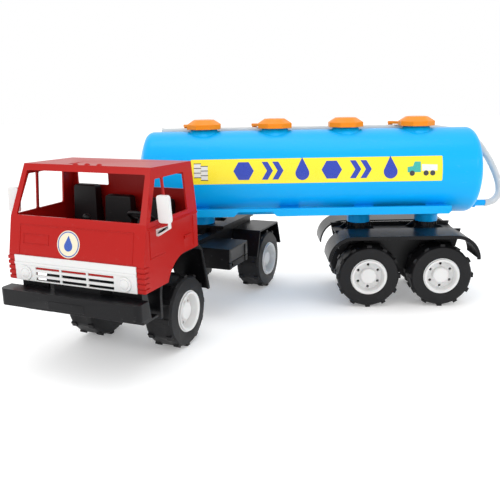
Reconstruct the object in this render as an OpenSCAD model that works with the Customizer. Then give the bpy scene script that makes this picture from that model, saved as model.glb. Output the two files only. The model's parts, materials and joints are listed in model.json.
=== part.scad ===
// Toy tanker truck: a cab-over tractor unit turned under a tank semi-trailer.
// The trailer lies along X with its near side at -Y, and the floor is z = 0.

/* [Stance] */
// Angle of the tractor away from straight ahead, as the toy stands
turn = 67; // [45:1:80]

/* [Wheels] */
// Diameter of a tyre over its lugs
wheel_d = 100; // [80:1:122]
// Width of a tyre
tyre_w = 40; // [32:1:48]
// Diameter of the rim seat inside a tyre
rim_d = 53; // [46:1:68]
// Number of lugs round each shoulder of a tyre
lug_count = 12; // [8:1:12]
// Diameter of the axle rods
axle_d = 6; // [4:0.5:8]
// How far a hub stands out of its tyre
hub_lip = 3; // [1:0.5:5]

/* [Tractor] */
// Distance between the tractor's two axles
wheelbase = 291; // [250:1:350]
// Distance of the kingpin ahead of the drive axle
king_ahead = 85; // [70:1:102]
// Distance of the bumper's face ahead of the front axle
front_overhang = 146; // [138:1:175]
// Width over the frame rails
frame_w = 68; // [60:1:80]
// Width of one frame rail
rail_w = 14; // [12:1:17]
// Height of the frame rails
rail_h = 23; // [19:1:28]

/* [Cab] */
// Width of the cab at its belt line
cab_w = 196; // [180:1:236]
// Length of the cab
cab_len = 129.5; // [120:0.5:155]
// Height of the cab
cab_h = 140; // [130:1:168]
// Thickness of the cab's walls
cab_wall = 2.5; // [1.5:0.1:3]

/* [Coupling] */
// Diameter of the kingpin
kingpin_d = 14; // [11:0.5:17]
// Thickness of the coupling plate
plate_t = 5; // [4:0.5:6]

/* [Tank] */
// Outer diameter of the tank
tank_d = 135; // [113:1:162]
// Length of the tank over its domed ends
tank_l = 544; // [520:1:653]
// Thickness of the tank's wall
tank_wall = 2.5; // [1.5:0.1:3]
// Distance that the tank reaches ahead of the kingpin
nose_reach = 97; // [80:1:116]
// Distance from the kingpin to the middle of the bogie
king_to_bogie = 319; // [300:1:383]
// Outer diameter of a filler neck
neck_d = 38; // [32:1:42]
// Bore of a filler neck
neck_bore = 30; // [24:1:31]
// Distance from one filler neck to the next
neck_pitch = 112.5; // [94:0.5:135]
// Width of a filler cap across its flats
cap_w = 53; // [50:1:62]

/* [Clearances] */
// Radial clearance of a rod or pin in its bore
running_gap = 0.07; // [0.02:0.01:0.1]
// Radial clearance of a cap on its neck
cap_gap = 0.3; // [0.2:0.1:0.6]
// Height of the trailer's pedestal above the coupling plate
pedestal_gap = 0.4; // [0.2:0.1:1]

/* [Hidden] */
$fn = 64;
cut = 1;

// Wheels and tyres
wheel_r = wheel_d / 2;
axle_z = wheel_r;
rim_r = rim_d / 2;
bead_r = rim_r - 2.5;
lug_h = 1.7;
lug_root = 4;
lug_w = 7;
lug_l = 8;
lug_in = 2;
shoulder = 5;
hub_wall = 2.2;
boss_r = rim_r * 0.47;
sleeve_r = axle_d / 2 + 3;
bolt_count = 6;
bolt_hole_r = 2.2;
bolt_circle_r = rim_r * 0.67;
side_play = 1;
axle_cover = 6;

// Heights that follow the wheels
deck_z = wheel_d + 15;
rail_z = deck_z - rail_h;
bearing_z = axle_z - axle_d / 2 - 5;
arch_top = wheel_d + 41;
arch_r = 49;
arch_ahead = 30;
guard_gap = 1.5;
front_guard_top = arch_top - guard_gap;
rear_guard_top = wheel_d + 8;
bogie_guard_top = wheel_d + 18;
guard_foot = wheel_d - 34;
guard_t = 2.5;

// Tractor, measured from the kingpin: x ahead, y to the left
front_axle_x = wheelbase - king_ahead;
drive_axle_x = -king_ahead;
frame_half = frame_w / 2;
rail_in = frame_half - rail_w;
frame_back = drive_axle_x - 33;
bumper_x = front_axle_x + front_overhang;
bumper_t = 22;
bumper_back = bumper_x - bumper_t;
bumper_z = rail_z - 7;
bumper_h = 21;
bumper_half = cab_w / 2 + 3;
bumper_r = 8;
tractor_gap = 8;
tractor_tyre_y = frame_half + tractor_gap + tyre_w;
front_guard_y = tractor_tyre_y + 5;
rear_guard_y = tractor_tyre_y + 2;
rear_guard_half = wheel_r + 6;
screw_r = 1.5;
screw_head_r = 3.5;
screw_head_h = 2;

// Cab
cab_z = deck_z - 1.5;
roof_z = cab_z + cab_h;
cab_half = cab_w / 2;
roof_half = cab_half - 6;
cab_x = bumper_x - 20.5;
cab_rear = cab_x - cab_len;
belt_z = roof_z - 62;
belt_x = cab_x - 9.5;
roof_x = cab_x - 35.5;
nose_z = cab_z + 32.5;
rib_pitch = 6.3;
roof_fall = 2.5;
window_low = belt_z + 1.5;
window_high = roof_z - 8;
window_r = 2;
arch_x = front_axle_x + arch_ahead;
floor_top = arch_top + 2.5;
floor_t = 3;
tunnel_in = frame_half - 10;
grille_half = cab_half - 9.8;
grille_t = 2;
grille_h = 32;
slot_w = 36;
slot_gap = 3;
slot_h = 3.5;
slot_pitch = 6.95;
headlight_r = 9;
headlight_y = grille_half - 16.2;

// Coupling
plate_z = deck_z + 5;
plate_top = plate_z + plate_t;
plate_half = 45;
plate_back = -106;
plate_front = 16;
plate_screw_x = [8, -103];
plate_screw_y = 27;
king_r = kingpin_d / 2;
king_hub_r = king_r + 7;
pedestal_z = plate_top + pedestal_gap;
pedestal_h = 9.1;
pedestal_r = king_r + 13;
king_low = deck_z - 11;

// Tank
tank_r = tank_d / 2;
strap_t = 4;
strap_w = 30;
strap_z = pedestal_z + pedestal_h;
tank_z = strap_z + strap_t + tank_r;
tank_x0 = -nose_reach;
tank_x1 = tank_x0 + tank_l;
tank_mid = (tank_x0 + tank_x1) / 2;
crown_r = tank_d * 1.11;
knuckle_r = 14;
dome_h = crown_r - sqrt(pow(crown_r - knuckle_r, 2) - pow(tank_r - knuckle_r, 2));
tank_top = tank_z + tank_r;
neck_top = tank_top + 12.5;
neck_r = neck_d / 2;
neck_x = [for (i = [0 : 3]) tank_mid + 1 + (i - 1.5) * neck_pitch];
neck_hole_r = neck_r - 2;
flare_low = tank_top - 7.5;
flare_high = tank_top + 2.5;
flare_r = neck_r + 11;

// Filler caps
cap_z0 = tank_top + 3.7;
cap_side = 7.3;
cap_h = 14.3;
cap_top_w = cap_w - 22;
cap_bore_h = neck_top - cap_z0 + 1.2;
cap_turn = [37, 37, 8, 37];
tongue_y = cap_w / 2 + 29;

// Drain spigot
spigot_z = tank_z - tank_r + 12.5;
spigot_r = 5.1;
spigot_bore = 3.5;
spigot_x = tank_x1 + 15;

// Cradle
side_y = tank_r + 0.5;
side_t = 8;
side_z = tank_z - tank_r + 8.5;
side_h = 12;
side_x = [tank_x0 + 70, tank_x1 - 59];
side_notch_x = [54, 120];
side_notch_h = 7;
leg_r = 18.5;
leg_x = [king_to_bogie - 63, king_to_bogie + 48];
strap_x = [0, 140, leg_x[0], leg_x[1]];
socket_top = bogie_guard_top + 6;
bogie_deck = bogie_guard_top - 8;
spigot_leg_r = 15;
socket_floor = bogie_guard_top - 20;

// Bogie
bogie_gap = 3;
axle_pitch = wheel_d + 13;
bogie_x = [king_to_bogie - axle_pitch / 2, king_to_bogie + axle_pitch / 2];
bogie_tyre_y = frame_half + bogie_gap + tyre_w;
bogie_guard_y = bogie_tyre_y + 17;
bogie_guard_mid = king_to_bogie - 6;
bogie_guard_half = axle_pitch / 2 + wheel_r + 9.5;
bogie_guard_r = 38;
bogie_foot = wheel_d - 20;
guard_lip = 5.5;
plate_in = frame_half - 4;

// Hose: its outer diameter and the points that its centre line passes, measured from the kingpin
hose_d = 11;
hose_sides = 10;
hose_rise = [[462, 0, 151], [465, 0, 151], [473.5, 1, 153], [480.5, 3, 157.5], [485.5, 6, 164.5],
    [487, 9, 173], [486.5, 13, 183], [484, 18, 194], [480, 24, 206], [475, 30, 218], [469, 36, 229],
    [462, 42, 240.5], [454, 46.5, 250], [444, 48.5, 257.5], [432, 48, 261.5], [418, 45, 264.2],
    [402, 40.5, 267.3], [385, 36.5, 269.8], [365, 34, 271.1], [340, 33, 271.6]];
hose_top = [for (x = [300 : -40 : -60]) [x, 33, 271.6]];
hose_points = concat(hose_rise, hose_top, [[-63, 33, 271.6]]);

// Where the kingpin stands, so that the toy's box is centred on the origin
turn_c = cos(turn);
turn_s = sin(turn);
corner_x = bumper_x - bumper_r;
corner_y = bumper_half - bumper_r;
low_x = -(corner_x * turn_c + corner_y * turn_s + bumper_r);
low_y = -(corner_x * turn_s + corner_y * turn_c + bumper_r);
high_y = (rear_guard_half - drive_axle_x) * turn_s + rear_guard_y * turn_c;
shift_x = -(low_x + spigot_x) / 2;
shift_y = -(low_y + high_y) / 2;

RED = [0.75, 0.16, 0.14];
MAROON = [0.45, 0.08, 0.08];
BLUE = [0.1, 0.6, 0.93];
WHITE = [0.93, 0.93, 0.93];
BLACK = [0.06, 0.06, 0.07];
ORANGE = [1.0, 0.6, 0.1];
STEEL = [0.7, 0.71, 0.73];
CLEAR = [0.8, 0.85, 0.88];

// ---- Placing and shaping helpers ----

module on_trailer() translate([shift_x, shift_y, 0]) children();

module on_tractor() translate([shift_x, shift_y, 0]) rotate([0, 0, 180 + turn]) children();

// A 2-D outline in (x, z), pushed across the object from y0 to y1
module across(y0, y1) translate([0, y1, 0]) rotate([90, 0, 0]) linear_extrude(height = y1 - y0) children();

// A 2-D outline in (y, z), pushed along the object from x0 to x1
module along(x0, x1) translate([x0, 0, 0]) rotate([90, 0, 90]) linear_extrude(height = x1 - x0) children();

// A box from its lowest corner to its highest corner
module block(low, high) translate(low) cube(high - low);

module both_sides() {
    children();
    mirror([0, 1, 0]) children();
}

// The left piece for side 1, the right piece for side -1
module on_side(side) if (side > 0) children(); else mirror([0, 1, 0]) children();

module cross_rod(x, z, r, y0, y1) translate([x, y1, z]) rotate([90, 0, 0]) cylinder(r = r, h = y1 - y0);

// A four-sided opening with round corners: a low edge, a high edge and their heights
module pane(low0, low1, high0, high1, z0, z1, r) {
    polygon([[low0, z0 + r], [low1, z0 + r], [high1, z1 - r], [high0, z1 - r]]);
    polygon([[low0 + r, z0], [low1 - r, z0], [high1 - r, z1], [high0 + r, z1]]);
    for (p = [[low0 + r, z0 + r], [low1 - r, z0 + r], [high1 - r, z1 - r], [high0 + r, z1 - r]])
        translate(p) circle(r = r);
}

// ---- Wheels ----

// Puts a piece made about Z, with its outer face at z = 0, on one side of an axle
module wheel_at(x, y, side) translate([x, side * y, axle_z]) rotate([-90 * side, 0, 0]) children();

module tyre_form() color(BLACK) {
    intersection() {
        rotate_extrude() polygon([[bead_r, 2 - tyre_w], [rim_r + 2, -tyre_w], [wheel_r - shoulder, -tyre_w],
            [wheel_r - lug_h, shoulder - tyre_w], [wheel_r - lug_h, -shoulder], [wheel_r - shoulder, 0],
            [rim_r + 2, 0], [bead_r, -2]]);
        translate([0, 0, -tyre_w - cut])
            cylinder(r = wheel_r - lug_h + 0.5, h = tyre_w + 2 * cut, $fn = lug_count);
    }
    for (k = [0 : lug_count - 1], z0 = [-lug_in - lug_l, lug_in - tyre_w])
        rotate([0, 0, k * 360 / lug_count])
            translate([wheel_r - lug_root, -lug_w / 2, z0]) cube([lug_root, lug_w, lug_l]);
}

// A dished hub pressed on its rod, with a sleeve that keeps it clear of the frame
module hub_form(gap) color(WHITE) difference() {
    sleeve_end = side_play - tyre_w - gap;
    rotate_extrude() polygon([[0, -2], [boss_r - 1.7, -2], [boss_r, -3.7], [boss_r, -9], [rim_r - 5.5, -9],
        [rim_r - 3.5, 1.5], [rim_r - 1.5, hub_lip], [rim_r + 0.3, hub_lip], [rim_r + 0.3, 0], [rim_r + 2, 0],
        [bead_r, -2], [bead_r, 2 - tyre_w], [bead_r - hub_wall, 2 - tyre_w], [bead_r - hub_wall, -12],
        [sleeve_r, -12], [sleeve_r, sleeve_end], [0, sleeve_end]]);
    translate([0, 0, sleeve_end - cut]) cylinder(d = axle_d, h = -axle_cover - sleeve_end + cut);
    for (k = [0 : bolt_count - 1]) rotate([0, 0, (k + 0.5) * 360 / bolt_count])
        translate([bolt_circle_r, 0, -13]) cylinder(r = bolt_hole_r, h = 6, $fn = 24);
}

module axle_rod(x, y) color(STEEL) cross_rod(x, axle_z, axle_d / 2, axle_cover - y, y - axle_cover);

module bearing_bore(x) cross_rod(x, axle_z, axle_d / 2 + running_gap, -frame_half - cut, frame_half + cut);

// ---- Tractor frame and coupling ----

module bearing_blocks(x) both_sides() across(rail_in, frame_half)
    polygon([[x - 16, rail_z + cut], [x - 9, bearing_z + 5], [x - 7, bearing_z], [x + 7, bearing_z],
        [x + 9, bearing_z + 5], [x + 16, rail_z + cut]]);

module frame_cross(x0, x1) block([x0, -rail_in - cut, rail_z + 4], [x1, rail_in + cut, deck_z - 4]);

module plate_screw_bodies() for (x = plate_screw_x, y = [-plate_screw_y, plate_screw_y])
    translate([x, y, rail_z]) cylinder(r = screw_r, h = rail_h + 4, $fn = 24);

module cab_screw_bodies() for (x = [cab_rear + 28, cab_rear + 98], y = [-frame_half + 5, frame_half - 5])
    translate([x, y, rail_z]) cylinder(r = screw_r, h = rail_h + 12, $fn = 24);

module screw_heads(xs, y) for (x = xs, side = [-1, 1])
    translate([x, side * y, rail_z - screw_head_h]) cylinder(r = screw_head_r, h = screw_head_h, $fn = 32);

module chassis_frame() on_tractor() color(BLACK) difference() {
    union() {
        both_sides() block([frame_back, rail_in, rail_z], [bumper_back, frame_half, deck_z]);
        frame_cross(frame_back, frame_back + 8);
        frame_cross(30, 38);
        frame_cross(120, 128);
        frame_cross(cab_rear - 10, cab_rear - 2);
        frame_cross(bumper_back - 8, bumper_back);
        bearing_blocks(front_axle_x);
        bearing_blocks(drive_axle_x);
    }
    bearing_bore(front_axle_x);
    bearing_bore(drive_axle_x);
    plate_screw_bodies();
    screw_heads(plate_screw_x, plate_screw_y);
    cab_screw_bodies();
}

module fifth_wheel_plate() on_tractor() color(BLACK) difference() {
    union() {
        block([plate_back, -plate_half, plate_z], [plate_front, plate_half, plate_top]);
        both_sides() block([plate_back, plate_screw_y - 5, deck_z], [plate_front, plate_screw_y + 5, plate_z + cut]);
        translate([0, 0, deck_z - 7]) cylinder(r = king_hub_r, h = plate_top - deck_z + 7);
    }
    translate([0, 0, deck_z - 8]) cylinder(r = king_r + running_gap, h = plate_top - deck_z + 9);
    translate([0, 0, plate_z - cut]) linear_extrude(height = plate_t + 2 * cut)
        polygon([[-22, -28], [-22, 28], [-78, 14], [-78, -14]]);
    for (p = [[-92, 13], [-92, -13], [-99, 38], [-99, -38]])
        translate([p[0], p[1], plate_z - cut]) cylinder(r = 2, h = plate_t + 2 * cut, $fn = 24);
    plate_screw_bodies();
}

module plate_screws() on_tractor() color(STEEL) {
    plate_screw_bodies();
    screw_heads(plate_screw_x, plate_screw_y);
}

module cab_screws() on_tractor() color(STEEL) {
    cab_screw_bodies();
    screw_heads([cab_rear + 28, cab_rear + 98], frame_half - 5);
}

module front_bumper() on_tractor() color(BLACK) {
    translate([0, 0, bumper_z]) linear_extrude(height = bumper_h) {
        polygon([[bumper_back, -bumper_half], [corner_x, -bumper_half], [corner_x, bumper_half],
            [bumper_back, bumper_half]]);
        block2([corner_x - cut, -corner_y], [bumper_x, corner_y]);
        for (side = [-1, 1]) translate([corner_x, side * corner_y]) circle(r = bumper_r);
    }
    block([bumper_x - 1, -26, bumper_z + 3], [bumper_x + 0.6, 26, bumper_z + 13]);
}

module block2(low, high) translate(low) square(high - low);

// ---- Cab ----

// Side outline of the cab, drawn t inside its outer face; the inner one runs out of the bottom
function cab_side(t) = [[cab_rear + t, cab_z - sign(t)], [cab_x - t, cab_z - sign(t)], [cab_x - t, nose_z],
    [belt_x - t, belt_z], [roof_x - t, roof_z - t], [cab_rear + t, roof_z - roof_fall - t]];

// Front outline of the cab, drawn t inside its outer face
function cab_face(t) = [[t - cab_half, cab_z - 2 * sign(t)], [cab_half - t, cab_z - 2 * sign(t)],
    [cab_half - t, belt_z - 3], [roof_half - t, roof_z + cut], [t - roof_half, roof_z + cut],
    [t - cab_half, belt_z - 3]];

module cab_block(t) intersection() {
    across(-cab_half, cab_half) polygon(cab_side(t));
    along(cab_rear, cab_x) polygon(cab_face(t));
}

module cab_openings() {
    along(roof_x - 14, cab_x) pane(-cab_half + 9, cab_half - 9, -cab_half + 12, cab_half - 12,
        window_low, window_high, window_r);
    across(-cab_half - cut, cab_half + cut) {
        pane(cab_rear + 23, cab_rear + 71.5, cab_rear + 23, cab_rear + 71.5, window_low, window_high - 5.5, window_r);
        pane(cab_rear + 74.5, belt_x - 10, cab_rear + 74.5, roof_x - 4, window_low, window_high - 5.5, 2);
    }
    along(cab_rear - cut, cab_rear + 6) for (side = [0, 1]) mirror([side, 0])
        pane(34, roof_half - 7, 34, roof_half - 7, belt_z + 24, belt_z + 43, 2);
    across(-cab_half - cut, cab_half + cut) {
        block2([cab_rear - cut, cab_z - cut], [arch_x, arch_top]);
        translate([arch_x, arch_top - arch_r]) circle(r = arch_r);
    }
    block([cab_x - 8, -58, cab_z - cut], [cab_x + cut, 58, cab_z + 13.5]);
    block([cab_rear - cut, -33, roof_z - 1.2], [roof_x - 10, 33, roof_z + cut]);
}

module cab_shell() on_tractor() color(RED) {
    difference() {
        cab_block(0);
        cab_block(cab_wall);
        cab_openings();
    }
    for (y = [-17.5, 0, 17.5]) intersection() {
        translate([roof_x - 5, y, roof_z - 2.4]) sphere(r = 4.4, $fn = 32);
        block([cab_rear, -cab_half, roof_z - 1], [cab_x, cab_half, roof_z + 5]);
    }
    both_sides() for (k = [0 : 4])
        block([cab_x - 9, cab_half - 9.5, cab_z + 0.8 + rib_pitch * k],
            [cab_x + 1.2, cab_half + 1.2, cab_z + 5 + rib_pitch * k]);
    both_sides() {
        block([cab_rear + 18, cab_half - 1, nose_z + 12], [cab_rear + 36, cab_half + 1.6, nose_z + 16]);
        block([cab_rear, cab_half - 1, belt_z - 6.5], [belt_x - 3, cab_half + 0.7, belt_z - 4.5]);
    }
}

module seat(y0, y1, top) {
    back_x = cab_rear + 10;
    intersection() {
        across(y0, y1) {
            pane(back_x, back_x + 50, back_x, back_x + 50, floor_top, floor_top + 24, 4);
            block2([back_x, floor_top], [back_x + 50, floor_top + 8]);
            pane(back_x, back_x + 16, back_x, back_x + 12, floor_top, top, 3);
        }
        along(back_x, back_x + 50) {
            pane(y0, y1, y0 + 1.5, y1 - 1.5, floor_top, top, 5);
            block2([y0, floor_top], [y1, floor_top + 8]);
        }
    }
}

module cab_interior() on_tractor() color(BLACK) difference() {
    union() {
        block([cab_rear + cab_wall, cab_wall - cab_half, floor_top - floor_t],
            [cab_x - 10, cab_half - cab_wall, floor_top]);
        both_sides() block([cab_rear + 10, tunnel_in, deck_z], [cab_x - 15.5, frame_half, floor_top]);
        seat(-78, -40, roof_z - 35.5);
        seat(-28, 14, roof_z - 47.5);
        seat(34, 74, roof_z - 49.5);
        translate([cab_rear + 75, -18, floor_top - cut]) cylinder(r = 2, h = 40);
        translate([cab_rear + 75, -18, floor_top + 42]) sphere(r = 5, $fn = 32);
    }
    cab_screw_bodies();
}

module steering_wheel() on_tractor() color(BLACK) intersection() {
    translate([cab_rear + 80, 66, floor_top + 49]) rotate([0, -30, 0]) {
        rotate_extrude() translate([15, 0]) circle(r = 2.2, $fn = 24);
        cylinder(r = 4, h = 3, center = true, $fn = 32);
        for (k = [0 : 2]) rotate([0, 0, 60 + 120 * k]) block([0, -1.6, -1.2], [15, 1.6, 1.2]);
        translate([0, 0, -70]) cylinder(r = 2.8, h = 70, $fn = 32);
    }
    block([cab_rear, 30, floor_top], [cab_x - 3, cab_half - 5, roof_z]);
}

module grille_panel() on_tractor() color(WHITE) difference() {
    union() {
        block([cab_x, -grille_half, cab_z], [cab_x + grille_t, grille_half, cab_z + grille_h]);
        block([cab_x + grille_t - 0.5, -grille_half, cab_z + 20.5], [cab_x + grille_t + 1, grille_half, cab_z + 23.5]);
        for (side = [-1, 1]) translate([cab_x, side * headlight_y, cab_z + 10]) rotate([0, 90, 0]) {
            cylinder(r = headlight_r, h = grille_t + 1.6);
            cylinder(r = headlight_r - 3, h = grille_t + 2.6);
        }
    }
    for (column = [-1 : 1], row = [0 : 2])
        translate([cab_x - cut, column * (slot_w + slot_gap) - slot_w / 2, cab_z + 1.6 + row * slot_pitch])
            cube([grille_t + 3, slot_w, row == 2 ? slot_h - 0.6 : slot_h]);
}

module mirror_arm(side) on_tractor() on_side(side) color(WHITE) {
    head_x = cab_x - 32.5;
    foot_z = belt_z - 16;
    along(head_x - 1, head_x + 4)
        pane(cab_half + 4.5, cab_half + 20.5, cab_half + 3, cab_half + 19, belt_z, belt_z + 32, 3.5);
    along(head_x, head_x + 3) difference() {
        polygon([[cab_half, foot_z], [cab_half + 3, foot_z], [cab_half + 19, belt_z - 6],
            [cab_half + 19, belt_z + 1], [cab_half + 16.5, belt_z + 1], [cab_half + 16, belt_z - 3],
            [cab_half, foot_z + 8]]);
        polygon([[cab_half + 2.2, foot_z + 2.8], [cab_half + 16.5, belt_z - 6], [cab_half + 16, belt_z - 5.2],
            [cab_half + 2.2, foot_z + 6.4]]);
    }
}

module mirror_left() mirror_arm(1);
module mirror_right() mirror_arm(-1);

// ---- Mudguards, steps and boxes ----

// Outline of a front mudguard about its axle, drawn t inside
module front_arch(t) {
    corner = arch_r - guard_gap;
    leg = arch_ahead + corner;
    low = guard_foot - sign(t);
    polygon([[leg - t, low], [leg - t, front_guard_top - corner], [arch_ahead, front_guard_top - corner],
        [arch_ahead, front_guard_top - t], [-24, front_guard_top - t], [0.9 * t - 38, front_guard_top - 12],
        [t - wheel_r - 6, low]]);
    translate([arch_ahead, front_guard_top - corner]) intersection() {
        circle(r = corner - t);
        block2([-1, -1], [corner + 1, corner + 1]);
    }
}

module rear_arch(t) {
    low = guard_foot - sign(t);
    polygon([[rear_guard_half - 1.1 * t, low], [rear_guard_half - 15 - 0.7 * t, rear_guard_top - t],
        [0.7 * t + 15 - rear_guard_half, rear_guard_top - t], [1.1 * t - rear_guard_half, low]]);
}

module front_guard(side) on_tractor() on_side(side) color(BLACK) translate([front_axle_x, 0, 0]) {
    across(frame_half, front_guard_y) difference() {
        front_arch(0);
        front_arch(guard_t);
    }
    across(front_guard_y - guard_t, front_guard_y) difference() {
        front_arch(0);
        front_arch(guard_lip);
    }
}

module rear_guard(side) on_tractor() on_side(side) color(BLACK) translate([drive_axle_x, 0, 0])
    across(frame_half, rear_guard_y) difference() {
        rear_arch(0);
        rear_arch(guard_t);
    }

module front_guard_left() front_guard(1);
module front_guard_right() front_guard(-1);
module rear_guard_left() rear_guard(1);
module rear_guard_right() rear_guard(-1);

// A step hangs from the frame just behind the bumper
module step(side) on_tractor() on_side(side) color(BLACK) {
    front_x = bumper_back - 9;
    out_y = front_guard_y + 1;
    low = rail_z - 20;
    block([front_x, frame_half + 13, low], [front_x + 3, out_y, rail_z + 20]);
    block([front_x - 7, frame_half, rail_z], [front_x + 3, frame_half + 14, rail_z + 8]);
    across(out_y - 3, out_y) polygon([[front_x - 16, low], [front_x + 1, low], [front_x + 1, rail_z + 20],
        [front_x - 8, rail_z + 20]]);
    block([front_x - 30, frame_half + 16, low], [front_x + 1, out_y, low + 3]);
}

module step_left() step(1);
module step_right() step(-1);

module side_box(side) on_tractor() on_side(side) color(BLACK) {
    out_y = tractor_tyre_y + 10;
    x0 = 29;
    x1 = 95;
    low = rail_z - 14;
    high = rail_z + 17;
    difference() {
        union() {
            block([x0, frame_half, low], [x1, out_y - 1, high]);
            for (x = [x0, x1 - 8]) block([x, out_y - 2, low], [x + 8, out_y, high]);
            block([x0, out_y - 2, high - 4], [x1, out_y, high]);
        }
        block([x0 - cut, out_y - 3, low + 9], [x1 + cut, out_y + cut, low + 10.5]);
        cross_rod(x1 - 11, low + 5, 3, out_y - 8, out_y + cut);
    }
}

module side_box_left() side_box(1);
module side_box_right() side_box(-1);

// ---- Tank and cradle ----

// The tank's solid, drawn t inside its outer face: a barrel between two domed ends with round knuckles
module tank_form(t) translate([tank_x0, 0, tank_z]) rotate([0, 90, 0]) {
    translate([0, 0, dome_h]) cylinder(r = tank_r - t, h = tank_l - 2 * dome_h);
    for (end = [0, 1]) translate([0, 0, end * tank_l]) mirror([0, 0, end]) {
        translate([0, 0, dome_h]) rotate_extrude() translate([tank_r - knuckle_r, 0]) circle(r = knuckle_r - t);
        intersection() {
            translate([0, 0, crown_r]) sphere(r = crown_r - t);
            cylinder(r = (tank_r - knuckle_r) * (crown_r - t) / (crown_r - knuckle_r), h = dome_h + cut);
        }
    }
}

module tank_shell() on_trailer() color(BLUE) difference() {
    tank_form(0);
    tank_form(tank_wall);
    for (x = neck_x) translate([x, 0, tank_top - 12]) cylinder(r = neck_hole_r, h = 14);
    translate([tank_x1 - dome_h, 0, spigot_z]) rotate([0, 90, 0]) cylinder(r = spigot_r, h = 2 * dome_h);
}

// A filler neck stands on the tank's top over its hole, with a flared foot cut to the barrel
module filler_neck(i) on_trailer() color(BLUE) difference() {
    translate([neck_x[i], 0, 0]) {
        translate([0, 0, tank_top - 10]) cylinder(r = neck_r, h = neck_top - tank_top + 10);
        translate([0, 0, flare_low]) cylinder(r1 = flare_r, r2 = neck_r + 1, h = flare_high - flare_low);
    }
    tank_bed();
    translate([neck_x[i], 0, tank_top - 12]) cylinder(d = neck_bore, h = neck_top - tank_top + 14);
}

module filler_neck_1() filler_neck(0);
module filler_neck_2() filler_neck(1);
module filler_neck_3() filler_neck(2);
module filler_neck_4() filler_neck(3);

module tank_bed() translate([tank_x0, 0, tank_z]) rotate([0, 90, 0]) cylinder(r = tank_r, h = tank_l);

module leg_screw_bodies() for (x = leg_x)
    translate([x, 0, socket_floor]) cylinder(r = 2, h = 14, $fn = 24);

module tank_cradle() on_trailer() color(BLUE) difference() {
    x0 = side_x[0];
    x1 = side_x[1];
    notch = side_z + side_notch_h;
    union() {
        both_sides() across(side_y - side_t, side_y) polygon([[x0 + 4, side_z], [side_notch_x[0], side_z],
            [side_notch_x[0] + 7, notch], [side_notch_x[1] - 7, notch], [side_notch_x[1], side_z],
            [x1 - 4, side_z], [x1, side_z + 4], [x1, side_z + side_h], [x0, side_z + side_h], [x0, side_z + 4]]);
        for (x = strap_x) {
            intersection() {
                translate([x - strap_w / 2, 0, tank_z]) rotate([0, 90, 0])
                    cylinder(r = tank_r + strap_t, h = strap_w);
                block([x - strap_w / 2, cut - side_y, strap_z], [x + strap_w / 2, side_y - cut, side_z + side_h]);
            }
            block([x - strap_w / 2, cut - side_y, side_z + 3], [x + strap_w / 2, side_y - cut, side_z + side_h - 2]);
        }
        translate([0, 0, pedestal_z]) cylinder(r = pedestal_r, h = pedestal_h + strap_t + 2);
        for (x = leg_x) translate([x, 0, 0]) {
            translate([0, 0, socket_top]) cylinder(r = leg_r, h = strap_z + strap_t + 2 - socket_top);
            translate([0, 0, socket_floor]) cylinder(r = spigot_leg_r, h = socket_top - socket_floor + cut);
        }
    }
    tank_bed();
    translate([0, 0, pedestal_z - cut]) cylinder(r = king_r, h = pedestal_h + cut);
    leg_screw_bodies();
}

module kingpin() on_trailer() color(STEEL)
    translate([0, 0, king_low]) cylinder(r = king_r, h = pedestal_z + pedestal_h - king_low);

module drain_spigot() on_trailer() color(BLUE) difference() {
    spigot_body(spigot_x);
    translate([tank_x1 - dome_h, 0, spigot_z]) rotate([0, 90, 0]) cylinder(r = spigot_bore, h = 2 * dome_h);
}

// The spigot runs through the tank's rear end, and its collar stands just outside
module spigot_body(end_x) {
    translate([tank_x1 - dome_h + 2, 0, spigot_z]) rotate([0, 90, 0])
        cylinder(r = spigot_r, h = end_x - tank_x1 + dome_h - 2);
    translate([tank_x1 - 5, 0, spigot_z]) rotate([0, 90, 0]) cylinder(r = spigot_r + 2.4, h = 3.5);
}

module leg_screws() on_trailer() color(STEEL) {
    leg_screw_bodies();
    for (x = leg_x) translate([x, 0, socket_floor - 6.5]) cylinder(r = 4, h = 2.5, $fn = 32);
    for (x = leg_x) translate([x, 0, socket_floor - 4]) cylinder(r = 2, h = 5, $fn = 24);
}

// ---- Filler caps ----

// An eight-sided cap with chamfered sides, a bore that drops over the neck, and a hooked tongue
module fill_cap(i) on_trailer() translate([neck_x[i], 0, cap_z0]) color(ORANGE) {
    difference() {
        intersection_for(k = [0 : 3]) rotate([0, 0, 45 * k]) across(-cap_w, cap_w)
            polygon([[-cap_w / 2, 0], [cap_w / 2, 0], [cap_w / 2, cap_side], [cap_top_w / 2, cap_h],
                [-cap_top_w / 2, cap_h], [-cap_w / 2, cap_side]]);
        translate([0, 0, -cut]) cylinder(r = neck_r + cap_gap, h = cap_bore_h + cut);
    }
    rotate([0, 0, cap_turn[i]]) {
        block([-5, cap_w / 2 - 2.5, 1.3], [5, tongue_y, 5.3]);
        block([-4, tongue_y - 3.5, -9.2], [4, tongue_y, 5.3]);
    }
}

module fill_cap_1() fill_cap(0);
module fill_cap_2() fill_cap(1);
module fill_cap_3() fill_cap(2);
module fill_cap_4() fill_cap(3);

// ---- Hose ----

function unit(v) = v / norm(v);
function hose_way(i) = unit(hose_points[min(i + 1, len(hose_points) - 1)] - hose_points[max(i - 1, 0)]);
function hose_side(i) = unit(cross(hose_way(i), [0, 1, 0]));
function hose_ring(i) = [for (k = [0 : hose_sides - 1])
    hose_points[i] + hose_d / 2 * (hose_side(i) * cos(360 * k / hose_sides)
        + unit(cross(hose_side(i), hose_way(i))) * sin(360 * k / hose_sides))];

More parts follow.
